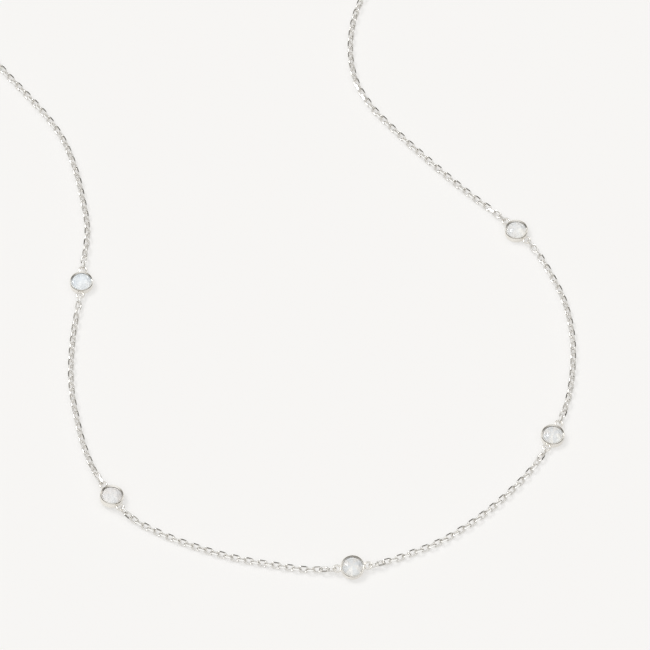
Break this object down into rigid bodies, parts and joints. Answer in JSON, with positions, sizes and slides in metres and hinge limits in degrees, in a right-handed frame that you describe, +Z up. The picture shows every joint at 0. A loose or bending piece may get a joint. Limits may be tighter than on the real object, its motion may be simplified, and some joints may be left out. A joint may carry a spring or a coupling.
{
  "type": "gemstone station necklace",
  "caption": "Fine silver cable-chain necklace with round bezel-set faceted moonstones spaced along the front, laid out as one closed loop on a table.",
  "frame": {"origin": "centre of the laid-out loop, on the table top", "axes": "+Z up from the table, +Y from the middle stone towards the clasp at the back, +X to the right as worn stones are seen"},
  "size_m": [0.11, 0.1696, 0.0022],
  "materials": {
    "silver": "polished sterling silver",
    "moonstone": "milky translucent, faceted and polished, with a pale blue sheen"
  },
  "bodies": {
    "root": {"setting_1": "silver", "setting_2": "silver", "setting_3": "silver", "setting_4": "silver", "setting_5": "silver", "stone_1": "moonstone", "stone_2": "moonstone", "stone_3": "moonstone", "stone_4": "moonstone", "stone_5": "moonstone", "chain_left": "silver", "chain_1_2": "silver", "chain_2_3": "silver", "chain_3_4": "silver", "chain_4_5": "silver", "chain_right": "silver", "back_chain_left": "silver", "back_chain_right": "silver", "clasp": "silver"}
  },
  "joints": []
}
